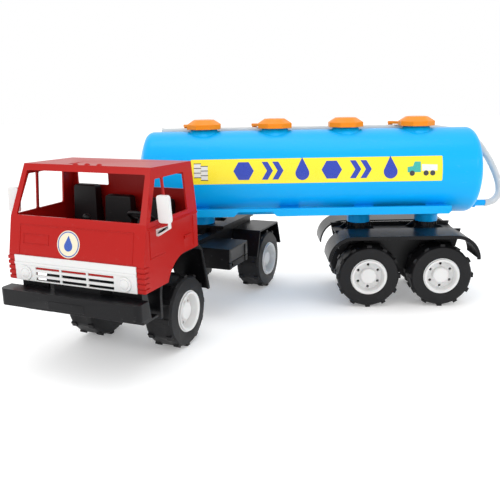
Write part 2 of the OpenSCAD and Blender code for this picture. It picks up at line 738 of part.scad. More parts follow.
module fuel_hose() on_trailer() color(CLEAR) {
    rings = len(hose_points);
    polyhedron(
        points = [for (i = [0 : rings - 1]) each hose_ring(i)],
        faces = concat([[for (k = [0 : hose_sides - 1]) k]],
            [for (i = [0 : rings - 2], k = [0 : hose_sides - 1]) [i * hose_sides + k,
                (i + 1) * hose_sides + k, (i + 1) * hose_sides + (k + 1) % hose_sides,
                i * hose_sides + (k + 1) % hose_sides]],
            [[for (k = [hose_sides - 1 : -1 : 0]) (rings - 1) * hose_sides + k]]));
}

// ---- Bogie ----

module leg_socket(x) translate([x, 0, 0]) difference() {
    union() {
        translate([0, 0, socket_floor - 4]) cylinder(r = leg_r, h = socket_top - socket_floor + 4);
        for (k = [0 : 15]) rotate([0, 0, 22.5 * k])
            block([leg_r - cut, -0.9, bogie_deck - cut], [leg_r + 1.6, 0.9, socket_top]);
        for (side = [-1, 1]) translate([0, side * (leg_r - 2), 0]) across(-1, 1)
            polygon([[-leg_r - 12, bogie_deck - cut], [leg_r + 12, bogie_deck - cut], [leg_r, socket_top - 5],
                [-leg_r, socket_top - 5]]);
    }
    translate([0, 0, socket_floor]) cylinder(r = spigot_leg_r, h = socket_top - socket_floor + cut);
}

module bogie_frame() on_trailer() color(BLACK) difference() {
    m = king_to_bogie;
    half = axle_pitch / 2;
    union() {
        both_sides() across(plate_in, frame_half) polygon([[m - half - 48.5, bogie_guard_top - guard_t],
            [m - half - 41.5, bogie_guard_top - 34], [m - half - 15.5, axle_z + 22],
            [m - half - 9.5, bearing_z], [m - half + 9.5, bearing_z], [m - half + 16.5, axle_z + 2],
            [m + half - 16.5, axle_z + 2], [m + half - 9.5, bearing_z], [m + half + 9.5, bearing_z],
            [m + half + 15.5, axle_z + 22], [m + half + 31.5, bogie_guard_top - 34],
            [m + half + 39.5, bogie_guard_top - guard_t]]);
        block([m - half - 46, -frame_half, bogie_deck - 3], [m + half + 36.5, frame_half, bogie_deck]);
        for (x = leg_x) leg_socket(x);
        block([m - 10, cut - frame_half, axle_z + 2], [m - 6, frame_half - cut, bogie_deck - cut]);
    }
    for (x = leg_x) {
        translate([x, 0, socket_floor]) cylinder(r = spigot_leg_r, h = socket_top - socket_floor + cut);
        translate([x, 0, socket_floor - 5]) cylinder(r = 2, h = 6, $fn = 24);
    }
    for (x = bogie_x) bearing_bore(x);
}

// Outline of a bogie mudguard, drawn t inside
module bogie_arch(t) {
    low = bogie_foot - cut;
    x0 = bogie_guard_mid - bogie_guard_half;
    x1 = bogie_guard_mid + bogie_guard_half;
    for (x = [x0 + bogie_guard_r, x1 - bogie_guard_r])
        translate([x, bogie_guard_top - bogie_guard_r]) circle(r = bogie_guard_r - t);
    block2([x0 + bogie_guard_r, low], [x1 - bogie_guard_r, bogie_guard_top - t]);
    block2([x0 + t, low], [x1 - t, bogie_guard_top - bogie_guard_r]);
}

module bogie_guard(side) on_trailer() on_side(side) color(BLACK) intersection() {
    union() {
        across(frame_half, bogie_guard_y) difference() {
            bogie_arch(0);
            bogie_arch(guard_t);
        }
        across(bogie_guard_y - guard_t, bogie_guard_y) difference() {
            bogie_arch(0);
            bogie_arch(guard_lip);
        }
    }
    block([0, 0, bogie_foot], [2 * tank_l, 2 * bogie_guard_y, deck_z + 20]);
}

module bogie_guard_left() bogie_guard(-1);
module bogie_guard_right() bogie_guard(1);

// ---- Axle sets ----

module tractor_tyre(x, side) on_tractor() wheel_at(x, tractor_tyre_y, side) tyre_form();
module tractor_hub(x, side) on_tractor() wheel_at(x, tractor_tyre_y, side) hub_form(tractor_gap);
module bogie_tyre(x, side) on_trailer() wheel_at(x, bogie_tyre_y, side) tyre_form();
module bogie_hub(x, side) on_trailer() wheel_at(x, bogie_tyre_y, side) hub_form(bogie_gap);

module front_axle_rod() on_tractor() axle_rod(front_axle_x, tractor_tyre_y);
module front_tyre_left() tractor_tyre(front_axle_x, 1);
module front_tyre_right() tractor_tyre(front_axle_x, -1);
module front_hub_left() tractor_hub(front_axle_x, 1);
module front_hub_right() tractor_hub(front_axle_x, -1);

module drive_axle_rod() on_tractor() axle_rod(drive_axle_x, tractor_tyre_y);
module drive_tyre_left() tractor_tyre(drive_axle_x, 1);
module drive_tyre_right() tractor_tyre(drive_axle_x, -1);
module drive_hub_left() tractor_hub(drive_axle_x, 1);
module drive_hub_right() tractor_hub(drive_axle_x, -1);

// The trailer faces -X, so its left side is at -Y
module bogie_front_rod() on_trailer() axle_rod(bogie_x[0], bogie_tyre_y);
module bogie_front_tyre_left() bogie_tyre(bogie_x[0], -1);
module bogie_front_tyre_right() bogie_tyre(bogie_x[0], 1);
module bogie_front_hub_left() bogie_hub(bogie_x[0], -1);
module bogie_front_hub_right() bogie_hub(bogie_x[0], 1);

module bogie_rear_rod() on_trailer() axle_rod(bogie_x[1], bogie_tyre_y);
module bogie_rear_tyre_left() bogie_tyre(bogie_x[1], -1);
module bogie_rear_tyre_right() bogie_tyre(bogie_x[1], 1);
module bogie_rear_hub_left() bogie_hub(bogie_x[1], -1);
module bogie_rear_hub_right() bogie_hub(bogie_x[1], 1);

tank_shell();
tank_cradle();
kingpin();
drain_spigot();
fuel_hose();
bogie_frame();
bogie_guard_left();
bogie_guard_right();
leg_screws();
filler_neck_1();
filler_neck_2();
filler_neck_3();
filler_neck_4();
fill_cap_1();
fill_cap_2();
fill_cap_3();
fill_cap_4();
chassis_frame();
fifth_wheel_plate();
plate_screws();
front_bumper();
cab_shell();
cab_interior();
steering_wheel();
cab_screws();
grille_panel();
mirror_left();
mirror_right();
front_guard_left();
front_guard_right();
step_left();
step_right();
side_box_left();
side_box_right();
rear_guard_left();
rear_guard_right();
front_axle_rod();
front_tyre_left();
front_tyre_right();
front_hub_left();
front_hub_right();
drive_axle_rod();
drive_tyre_left();
drive_tyre_right();
drive_hub_left();
drive_hub_right();
bogie_front_rod();
bogie_front_tyre_left();
bogie_front_tyre_right();
bogie_front_hub_left();
bogie_front_hub_right();
bogie_rear_rod();
bogie_rear_tyre_left();
bogie_rear_tyre_right();
bogie_rear_hub_left();
bogie_rear_hub_right();
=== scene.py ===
"""Toy tanker truck: the looks of a cab-over tractor unit turned under a blue tank semi-trailer.

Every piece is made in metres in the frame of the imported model. The trailer lies along X with its near
side at -Y, and the tractor stands turned about the kingpin. Moulded pieces are refined from their own
solids, with rounded mould edges, and the label, badge, hose, grille and panel beads are modelled here.
"""

import json
import logging
import math
from dataclasses import dataclass, field
from enum import Enum
from typing import Callable, Iterable, Sequence

import bmesh
import bpy
from mathutils import Matrix, Vector


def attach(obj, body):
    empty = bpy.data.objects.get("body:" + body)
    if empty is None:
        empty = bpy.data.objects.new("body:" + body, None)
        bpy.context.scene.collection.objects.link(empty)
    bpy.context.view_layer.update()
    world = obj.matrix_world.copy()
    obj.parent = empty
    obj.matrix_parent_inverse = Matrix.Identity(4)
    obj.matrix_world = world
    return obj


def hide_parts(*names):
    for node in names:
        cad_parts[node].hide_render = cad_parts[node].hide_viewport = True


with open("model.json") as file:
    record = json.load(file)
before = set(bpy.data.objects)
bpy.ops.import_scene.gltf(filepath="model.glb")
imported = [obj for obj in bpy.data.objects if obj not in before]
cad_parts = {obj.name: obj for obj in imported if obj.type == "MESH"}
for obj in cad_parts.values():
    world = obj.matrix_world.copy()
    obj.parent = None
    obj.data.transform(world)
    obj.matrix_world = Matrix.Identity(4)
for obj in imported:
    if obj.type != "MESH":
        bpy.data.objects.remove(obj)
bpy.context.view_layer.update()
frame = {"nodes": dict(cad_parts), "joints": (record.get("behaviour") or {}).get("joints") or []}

LOG = logging.getLogger("tanker")
MM = 0.001
Color = tuple[float, float, float]
Point2 = tuple[float, float]
Point3 = tuple[float, float, float]


class Body(Enum):
    """The moving bodies of the toy."""

    TRAILER = "trailer"
    TRACTOR = "tractor"
    FRONT_AXLE = "tractor_front_axle"
    DRIVE_AXLE = "tractor_drive_axle"
    BOGIE_FRONT = "bogie_front_axle"
    BOGIE_REAR = "bogie_rear_axle"
    CAP_1 = "cap_1"
    CAP_2 = "cap_2"
    CAP_3 = "cap_3"
    CAP_4 = "cap_4"


class Slot(Enum):
    """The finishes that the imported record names."""

    TANK_BLUE = "tank_blue"
    HOSE_CLEAR = "hose_clear"
    CAP_ORANGE = "cap_orange"
    STEEL = "steel"
    TYRE_BLACK = "tyre_black"
    WHITE_PLASTIC = "white_plastic"
    CAB_RED = "cab_red"
    INTERIOR_BLACK = "interior_black"
    GLOSS_BLACK = "gloss_black"
    FRAME_BLACK = "frame_black"


# ---- Shared shader groups ----


class ShaderGroup:
    """A node group that several finishes share, built once."""

    def __init__(self, name: str) -> None:
        """Starts an empty group.

        Args:
            name: the group's name.
        """
        self.tree = bpy.data.node_groups.new(name, "ShaderNodeTree")
        self.start = self.tree.nodes.new("NodeGroupInput")
        self.end = self.tree.nodes.new("NodeGroupOutput")

    def takes(self, name: str, kind: str, value: float | None = None) -> None:
        """Adds a named input socket.

        Args:
            name: the socket's name.
            kind: its type, such as Float.
            value: its default, if it has one.
        """
        socket = self.tree.interface.new_socket(name, in_out="INPUT", socket_type=f"NodeSocket{kind}")
        if value is not None:
            socket.default_value = value

    def gives(self, name: str, kind: str) -> None:
        """Adds a named output socket.

        Args:
            name: the socket's name.
            kind: its type, such as Color.
        """
        self.tree.interface.new_socket(name, in_out="OUTPUT", socket_type=f"NodeSocket{kind}")

    def node(self, kind: str, **settings: object) -> bpy.types.Node:
        """Adds a node.

        Args:
            kind: the node's type, without its ShaderNode prefix.
            settings: properties to set on it.

        Returns:
            The new node.
        """
        made = self.tree.nodes.new(f"ShaderNode{kind}")
        for key, value in settings.items():
            setattr(made, key, value)
        return made

    def join(self, source: bpy.types.NodeSocket, target: bpy.types.NodeSocket) -> None:
        """Links one socket to another."""
        self.tree.links.new(source, target)

    def math(self, operation: str, first: object, second: object = None) -> bpy.types.NodeSocket:
        """Adds a math node.

        Args:
            operation: the sum to do, such as MULTIPLY.
            first: a socket or a number.
            second: a socket or a number, if the sum has two terms.

        Returns:
            The result's socket.
        """
        made = self.node("Math", operation=operation)
        for index, term in enumerate((first, second)):
            if isinstance(term, bpy.types.NodeSocket):
                self.join(term, made.inputs[index])
            elif term is not None:
                made.inputs[index].default_value = term
        return made.outputs[0]


def moulding_group() -> bpy.types.NodeTree:
    """Builds the surface of moulded plastic: soft shade changes, a fine skin and shallow sink marks.

    Returns:
        The group, whose outputs are Color, Roughness and Height.
    """
    group = ShaderGroup("moulded_skin")
    for name, kind, value in (("Vector", "Vector", None), ("Base", "Color", None), ("Shade", "Float", 0.06),
                              ("Gloss", "Float", 0.3), ("Gloss Change", "Float", 0.08),
                              ("Skin Scale", "Float", 900.0), ("Sink Scale", "Float", 14.0)):
        group.takes(name, kind, value)
    for name, kind in (("Color", "Color"), ("Roughness", "Float"), ("Height", "Float")):
        group.gives(name, kind)
    start, end = group.start.outputs, group.end.inputs
    flow = group.node("TexNoise")
    flow.inputs["Detail"].default_value = 3.0
    group.join(start["Vector"], flow.inputs["Vector"])
    group.join(start["Sink Scale"], flow.inputs["Scale"])
    skin = group.node("TexNoise")
    skin.inputs["Detail"].default_value = 2.0
    group.join(start["Vector"], skin.inputs["Vector"])
    group.join(start["Skin Scale"], skin.inputs["Scale"])
    drift = group.math("SUBTRACT", flow.outputs["Fac"], 0.5)
    value = group.math("ADD", group.math("MULTIPLY", drift, start["Shade"]), 1.0)
    shade = group.node("HueSaturation")
    group.join(value, shade.inputs["Value"])
    group.join(start["Base"], shade.inputs["Color"])
    group.join(shade.outputs["Color"], end["Color"])
    rough = group.math("ADD", start["Gloss"], group.math("MULTIPLY", drift, start["Gloss Change"]))
    fine = group.math("MULTIPLY", group.math("SUBTRACT", skin.outputs["Fac"], 0.5), start["Gloss Change"])
    group.join(group.math("ADD", rough, fine), end["Roughness"])
    group.join(group.math("ADD", group.math("MULTIPLY", skin.outputs["Fac"], 0.12), flow.outputs["Fac"]),
               end["Height"])
    return group.tree


def scuff_group() -> bpy.types.NodeTree:
    """Builds handling wear: sparse hair scratches and dull rubbed patches.

    Returns:
        The group, whose outputs are Color and Roughness.
    """
    group = ShaderGroup("handling_scuffs")
    for name, kind, value in (("Vector", "Vector", None), ("Color", "Color", None),
                              ("Roughness", "Float", 0.3), ("Amount", "Float", 0.3),
                              ("Scale", "Float", 60.0)):
        group.takes(name, kind, value)
    for name, kind in (("Color", "Color"), ("Roughness", "Float")):
        group.gives(name, kind)
    start, end = group.start.outputs, group.end.inputs
    stretch = group.node("Mapping")
    stretch.inputs["Scale"].default_value = (1.0, 7.0, 3.0)
    stretch.inputs["Rotation"].default_value = (0.3, 0.5, 0.9)
    group.join(start["Vector"], stretch.inputs["Vector"])
    hair = group.node("TexNoise")
    hair.inputs["Detail"].default_value = 6.0
    hair.inputs["Roughness"].default_value = 0.7
    group.join(stretch.outputs["Vector"], hair.inputs["Vector"])
    group.join(start["Scale"], hair.inputs["Scale"])
    mask = group.node("MapRange")
    mask.inputs["From Min"].default_value = 0.62
    mask.inputs["From Max"].default_value = 0.72
    group.join(hair.outputs["Fac"], mask.inputs["Value"])
    amount = group.math("MULTIPLY", mask.outputs["Result"], start["Amount"])
    tint = group.node("Mix", data_type="RGBA")
    tint.inputs["B"].default_value = (0.75, 0.75, 0.75, 1.0)
    group.join(group.math("MULTIPLY", amount, 0.12), tint.inputs["Factor"])
    group.join(start["Color"], tint.inputs["A"])
    group.join(tint.outputs["Result"], end["Color"])
    group.join(group.math("ADD", start["Roughness"], group.math("MULTIPLY", amount, 0.2)), end["Roughness"])
    return group.tree


def brushed_group() -> bpy.types.NodeTree:
    """Builds drawn steel wire: fine lines along the rod and a few dull spots.

    Returns:
        The group, whose outputs are Roughness and Height.
    """
    group = ShaderGroup("drawn_lines")
    group.takes("Vector", "Vector")
    group.takes("Scale", "Float", 400.0)
    for name in ("Roughness", "Height"):
        group.gives(name, "Float")
    start, end = group.start.outputs, group.end.inputs
    lines = group.node("TexNoise")
    lines.inputs["Detail"].default_value = 4.0
    group.join(start["Vector"], lines.inputs["Vector"])
    group.join(start["Scale"], lines.inputs["Scale"])
    group.join(group.math("ADD", group.math("MULTIPLY", lines.outputs["Fac"], 0.25), 0.2), end["Roughness"])
    group.join(lines.outputs["Fac"], end["Height"])
    return group.tree


class Groups:
    """The shader groups, each built the first time that a finish asks for it."""

    made: dict[str, bpy.types.NodeTree] = {}

    @classmethod
    def get(cls, build: Callable[[], bpy.types.NodeTree]) -> bpy.types.NodeTree:
        """Finds or builds a group.

        Args:
            build: the function that builds it.

        Returns:
            The group.
        """
        if build.__name__ not in cls.made:
            cls.made[build.__name__] = build()
        return cls.made[build.__name__]


# ---- Finishes ----


@dataclass(frozen=True)
class Finish:
    """A finish: what every material here has in common."""

    name: str
    slot: Slot

    def shader(self) -> tuple[bpy.types.Material, bpy.types.NodeTree, bpy.types.Node]:
        """Makes an empty material.

        Returns:
            The material, its node tree and its Principled BSDF.
        """
        material = bpy.data.materials.new(self.name)
        material.use_nodes = True
        return material, material.node_tree, material.node_tree.nodes["Principled BSDF"]

    def material(self) -> bpy.types.Material:
        """Finds or builds the finish's material."""
        return bpy.data.materials.get(self.name) or self.build()

    def build(self) -> bpy.types.Material:
        """Builds the material. Each kind of finish has its own."""
        raise NotImplementedError

    @staticmethod
    def place(tree: bpy.types.NodeTree, group: bpy.types.NodeTree, **values: float) -> bpy.types.Node:
        """Places a shared group that reads Object coordinates.

        Args:
            tree: the material's tree.
            group: the shared group.
            values: numbers for its inputs, with underscores for spaces.

        Returns:
            The group's node.
        """
        node = tree.nodes.new("ShaderNodeGroup")
        node.node_tree = group
        where = tree.nodes.get("Texture Coordinate") or tree.nodes.new("ShaderNodeTexCoord")
        tree.links.new(where.outputs["Object"], node.inputs["Vector"])
        for key, value in values.items():
            node.inputs[key.replace("_", " ")].default_value = value
        return node

    @staticmethod
    def bump(tree: bpy.types.NodeTree, height: bpy.types.NodeSocket, strength: float, depth_mm: float,
             target: bpy.types.Node) -> None:
        """Feeds a height to a shader's normal.

        Args:
            tree: the material's tree.
            height: the socket that gives the height.
            strength: the bump's strength.
            depth_mm: the bump's depth.
            target: the shader.
        """
        node = tree.nodes.new("ShaderNodeBump")
        node.inputs["Strength"].default_value = strength
        node.inputs["Distance"].default_value = depth_mm * MM
        tree.links.new(height, node.inputs["Height"])
        tree.links.new(node.outputs["Normal"], target.inputs["Normal"])


@dataclass(frozen=True)
class MouldedPlastic(Finish):
    """Coloured plastic as it comes from its mould."""

    color: Color = (0.5, 0.5, 0.5)
    gloss: float = 0.3
    gloss_change: float = 0.08
    shade: float = 0.06
    sink_scale: float = 14.0
    skin_scale: float = 900.0
    depth_mm: float = 0.25
    scuffs: float = 0.3
    coat: float = 0.0
    specular: float = 0.5
    glow_through: float = 0.0

    def build(self) -> bpy.types.Material:
        """Builds the material.

        Returns:
            The material.
        """
        material, tree, shader = self.shader()
        skin = self.place(tree, Groups.get(moulding_group), Base=(*self.color, 1.0), Shade=self.shade,
                          Gloss=self.gloss, Gloss_Change=self.gloss_change, Skin_Scale=self.skin_scale,
                          Sink_Scale=self.sink_scale)
        wear = self.place(tree, Groups.get(scuff_group), Amount=self.scuffs)
        tree.links.new(skin.outputs["Color"], wear.inputs["Color"])
        tree.links.new(skin.outputs["Roughness"], wear.inputs["Roughness"])
        tree.links.new(wear.outputs["Color"], shader.inputs["Base Color"])
        tree.links.new(wear.outputs["Roughness"], shader.inputs["Roughness"])
        shader.inputs["Coat Weight"].default_value = self.coat
        shader.inputs["Specular IOR Level"].default_value = self.specular
        shader.inputs["Coat Roughness"].default_value = 0.12
        shader.inputs["Subsurface Weight"].default_value = self.glow_through
        shader.inputs["Subsurface Scale"].default_value = 2 * MM
        self.bump(tree, skin.outputs["Height"], 0.35, self.depth_mm, shader)
        return material


@dataclass(frozen=True)
class DrawnSteel(Finish):
    """Bright drawn steel rod and screws."""

    color: Color = (0.6, 0.6, 0.62)

    def build(self) -> bpy.types.Material:
        """Builds the material.

        Returns:
            The material.
        """
        material, tree, shader = self.shader()
        lines = self.place(tree, Groups.get(brushed_group), Scale=500.0)
        skin = self.place(tree, Groups.get(moulding_group), Base=(*self.color, 1.0), Shade=0.2)
        tree.links.new(skin.outputs["Color"], shader.inputs["Base Color"])
        tree.links.new(lines.outputs["Roughness"], shader.inputs["Roughness"])
        shader.inputs["Metallic"].default_value = 1.0
        self.bump(tree, lines.outputs["Height"], 0.2, 0.05, shader)
        return material


@dataclass(frozen=True)
class SoftTube(Finish):
    """Clear soft tube, slightly milky."""

    color: Color = (0.78, 0.8, 0.81)

    def build(self) -> bpy.types.Material:
        """Builds the material.

        Returns:
            The material.
        """
        material, tree, shader = self.shader()
        skin = self.place(tree, Groups.get(moulding_group), Base=(*self.color, 1.0), Shade=0.05, Gloss=0.34,
                          Skin_Scale=600.0, Sink_Scale=40.0)
        tree.links.new(skin.outputs["Color"], shader.inputs["Base Color"])
        tree.links.new(skin.outputs["Roughness"], shader.inputs["Roughness"])
        shader.inputs["Transmission Weight"].default_value = 0.42
        shader.inputs["IOR"].default_value = 1.2
        self.bump(tree, skin.outputs["Height"], 0.1, 0.1, shader)
        return material


@dataclass(frozen=True)
class PrintedFilm(Finish):
    """A printed self-adhesive film: a satin colour with a fine ink grain."""

    color: Color = (1.0, 0.85, 0.05)
    gloss: float = 0.28

    def build(self) -> bpy.types.Material:
        """Builds the material.

        Returns:
            The material.
        """
        material, tree, shader = self.shader()
        ink = self.place(tree, Groups.get(moulding_group), Base=(*self.color, 1.0), Shade=0.05,
                         Gloss=self.gloss, Gloss_Change=0.1, Skin_Scale=1500.0, Sink_Scale=30.0)
        wear = self.place(tree, Groups.get(scuff_group), Amount=0.2, Scale=90.0)
        tree.links.new(ink.outputs["Color"], wear.inputs["Color"])
        tree.links.new(ink.outputs["Roughness"], wear.inputs["Roughness"])
        tree.links.new(wear.outputs["Color"], shader.inputs["Base Color"])
        tree.links.new(wear.outputs["Roughness"], shader.inputs["Roughness"])
        self.bump(tree, ink.outputs["Height"], 0.15, 0.05, shader)
        return material


RED = MouldedPlastic("cab_red_plastic", Slot.CAB_RED, color=(0.4, 0.008, 0.006), gloss=0.32, shade=0.07,
                     coat=0.03, specular=0.16, depth_mm=0.12)
BLUE = MouldedPlastic("tank_blue_plastic", Slot.TANK_BLUE, color=(0.001, 0.4, 0.87), gloss=0.3, shade=0.05,
                      coat=0.03, specular=0.18, glow_through=0.05, sink_scale=9.0, depth_mm=0.15)
WHITE = MouldedPlastic("white_trim_plastic", Slot.WHITE_PLASTIC, color=(0.7, 0.7, 0.695), gloss=0.3,
                       shade=0.05, coat=0.1, specular=0.4, glow_through=0.05, depth_mm=0.12)
ORANGE = MouldedPlastic("cap_orange_plastic", Slot.CAP_ORANGE, color=(0.86, 0.25, 0.007), gloss=0.35,
                        shade=0.08, specular=0.25, glow_through=0.05, depth_mm=0.15)
GLOSS_BLACK = MouldedPlastic("gloss_black_plastic", Slot.GLOSS_BLACK, color=(0.004, 0.004, 0.005), gloss=0.3,
                             gloss_change=0.1, shade=0.2, specular=0.2, scuffs=0.4)
FRAME_BLACK = MouldedPlastic("frame_black_plastic", Slot.FRAME_BLACK, color=(0.005, 0.005, 0.006), gloss=0.38,
                             gloss_change=0.12, shade=0.2, specular=0.28, scuffs=0.4)
SEAT_BLACK = MouldedPlastic("interior_black_plastic", Slot.INTERIOR_BLACK, color=(0.006, 0.006, 0.007),
                            gloss=0.45, gloss_change=0.12, shade=0.2, specular=0.3, scuffs=0.3)
TYRE = MouldedPlastic("tyre_black_plastic", Slot.TYRE_BLACK, color=(0.006, 0.006, 0.007), gloss=0.5,
                      gloss_change=0.15, shade=0.3, specular=0.26, skin_scale=450.0, depth_mm=0.4, scuffs=0.3)
STEEL = DrawnSteel("axle_steel", Slot.STEEL)
TUBE = SoftTube("clear_tube", Slot.HOSE_CLEAR)
LABEL_YELLOW = PrintedFilm("label_yellow_film", Slot.TANK_BLUE, color=(0.93, 0.78, 0.03))
LABEL_BLUE = PrintedFilm("label_blue_ink", Slot.TANK_BLUE, color=(0.02, 0.05, 0.42))
LABEL_WHITE = PrintedFilm("label_white_ink", Slot.TANK_BLUE, color=(0.74, 0.76, 0.73))
LABEL_GREEN = PrintedFilm("label_green_ink", Slot.TANK_BLUE, color=(0.04, 0.42, 0.36))
LABEL_DARK = PrintedFilm("label_dark_ink", Slot.TANK_BLUE, color=(0.04, 0.04, 0.05))
BADGE_CREAM = PrintedFilm("badge_cream_film", Slot.CAB_RED, color=(0.76, 0.7, 0.52))
BADGE_BLUE = PrintedFilm("badge_blue_ink", Slot.CAB_RED, color=(0.03, 0.09, 0.4))


# ---- Mesh helpers ----


def add_piece(name: str, bm: bmesh.types.BMesh, finish: Finish, body: Body, smooth: float = 35.0,
              tidy: bool = True) -> bpy.types.Object:
    """Turns a bmesh into a piece that rides on a body.

    Args:
        name: the piece's name.
        bm: its mesh, which is freed.
        finish: its finish.
        body: the body that carries it.
        smooth: edges sharper than this many degrees stay sharp.
        tidy: whether doubles are merged and normals worked out again.

    Returns:
        The new object.
    """
    if tidy:
        bmesh.ops.remove_doubles(bm, verts=bm.verts, dist=0.002 * MM)
        bmesh.ops.recalc_face_normals(bm, faces=bm.faces)
    mesh = bpy.data.meshes.new(name)
    bm.to_mesh(mesh)
    bm.free()
    mesh.shade_smooth()
    mesh.set_sharp_from_angle(angle=math.radians(smooth))
    piece = bpy.data.objects.new(name, mesh)
    bpy.context.scene.collection.objects.link(piece)
    mesh.materials.append(finish.material())
    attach(piece, body.value)
    LOG.info("%s: %d faces on %s", name, len(mesh.polygons), body.value)
    return piece


def round_edges(piece: bpy.types.Object, radius_mm: float, segments: int = 2, angle: float = 32.0) -> None:
    """Rounds a piece's sharp edges, as a mould does.

    Args:
        piece: the piece.
        radius_mm: the width of the rounding.
        segments: how many faces the rounding has.
        angle: edges sharper than this many degrees are rounded.
    """
    bevel = piece.modifiers.new("mould_edges", "BEVEL")
    bevel.width = radius_mm * MM
    bevel.segments = segments
    bevel.limit_method = "ANGLE"
    bevel.angle_limit = math.radians(angle)
    bevel.harden_normals = True
    bevel.miter_outer = "MITER_ARC"
    bevel.use_clamp_overlap = True


def refine(node: str, finish: Finish, body: Body, edge_mm: float, segments: int = 2) -> bpy.types.Object:
    """Makes the shown piece of a moulded node: its own solid with clean faces and rounded edges.

    Args:
        node: the node's name.
        finish: the piece's finish.
        body: the body that carries it.
        edge_mm: the width of its rounded edges.
        segments: how many faces a rounding has.

    Returns:
        The new object, which replaces the node.
    """
    bm = bmesh.new()
    bm.from_mesh(frame["nodes"][node].data)
    bmesh.ops.remove_doubles(bm, verts=bm.verts, dist=0.01 * MM)
    bmesh.ops.dissolve_limit(bm, angle_limit=math.radians(0.6), verts=bm.verts, edges=bm.edges)
    piece = add_piece(f"{node}_moulding", bm, finish, body, tidy=False)
    if edge_mm > 0:
        round_edges(piece, edge_mm, segments)
    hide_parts(node)
    return piece


def block(bm: bmesh.types.BMesh, low: Sequence[float], high: Sequence[float]) -> list[bmesh.types.BMVert]:
    """Adds a box to a bmesh.

    Args:
        bm: the bmesh.
        low: its lowest corner, in millimetres.
        high: its highest corner, in millimetres.

    Returns:
        Its vertices.
    """
    low_v, high_v = Vector(low) * MM, Vector(high) * MM
    made = bmesh.ops.create_cube(bm, size=1.0, matrix=Matrix.Translation((low_v + high_v) / 2)
                                 @ Matrix.Diagonal((*(high_v - low_v), 1.0)))
    return made["verts"]


def plate(bm: bmesh.types.BMesh, outline: Iterable[Point2], low: float, high: float) -> None:
    """Adds a flat plate in the XY plane.

    Args:
        bm: the bmesh.
        outline: its corners in order, in millimetres.
        low: the height of its underside.
        high: the height of its top.
    """
    ring = [bm.verts.new((x * MM, y * MM, low * MM)) for x, y in outline]
    face = bm.faces.new(ring)
    made = bmesh.ops.extrude_face_region(bm, geom=[face])
    top = [v for v in made["geom"] if isinstance(v, bmesh.types.BMVert)]
    bmesh.ops.translate(bm, verts=top, vec=(0.0, 0.0, (high - low) * MM))


def spun(bm: bmesh.types.BMesh, profile: Sequence[Point2], steps: int = 64) -> None:
    """Adds a closed ring about Z, spun from its section.

    Args:
        bm: the bmesh.
        profile: the section's corners as (radius, height), in millimetres.
        steps: how many faces go round.
    """
    verts = [bm.verts.new((r * MM, 0.0, z * MM)) for r, z in profile]
    edges = [bm.edges.new((verts[i], verts[(i + 1) % len(verts)])) for i in range(len(verts))]
    bmesh.ops.spin(bm, geom=verts + edges, cent=(0, 0, 0), axis=(0, 0, 1), angle=2 * math.pi, steps=steps,
                   use_merge=True)


def circle_points(x: float, y: float, radius: float, count: int = 32, start: float = 0.0,
                  sweep: float = 360.0) -> list[Point2]:
    """Lists points round a circle or along an arc of it.

    Args:
        x: the centre's x.
        y: the centre's y.
        radius: the circle's radius.
        count: how many points.
        start: the first point's angle, in degrees.
        sweep: the angle covered, in degrees.

    Returns:
        The points.
    """
    last = count if abs(sweep) >= 360 else count - 1
    turns = [math.radians(start + sweep * k / last) for k in range(count)]
    return [(x + radius * math.cos(t), y + radius * math.sin(t)) for t in turns]


# ---- Where things are ----


@dataclass
class Ground:
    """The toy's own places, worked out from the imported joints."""

    joints: dict[str, dict] = field(default_factory=lambda: {j["name"]: j for j in frame["joints"]})

    def kingpin(self) -> Vector:
        """Gives the kingpin's place on the floor."""
        x, y, _ = self.joints["kingpin_swivel"]["pos_m"]
        return Vector((x, y, 0.0))

    def tractor(self) -> Matrix:
        """Gives the tractor's own axes: x ahead of the kingpin, y to its left.

        Returns:
            The matrix from those axes to the row frame.
        """
        left = Vector(self.joints["front_axle_spin"]["axis"]).normalized()
        ahead = left.cross(Vector((0, 0, 1)))
        turn = Matrix((ahead, left, Vector((0, 0, 1)))).transposed().to_4x4()
        return Matrix.Translation(self.kingpin()) @ turn

    def trailer(self) -> Matrix:
        """Gives the trailer's own axes: x from the kingpin towards the rear."""
        return Matrix.Translation(self.kingpin())


GROUND = Ground()


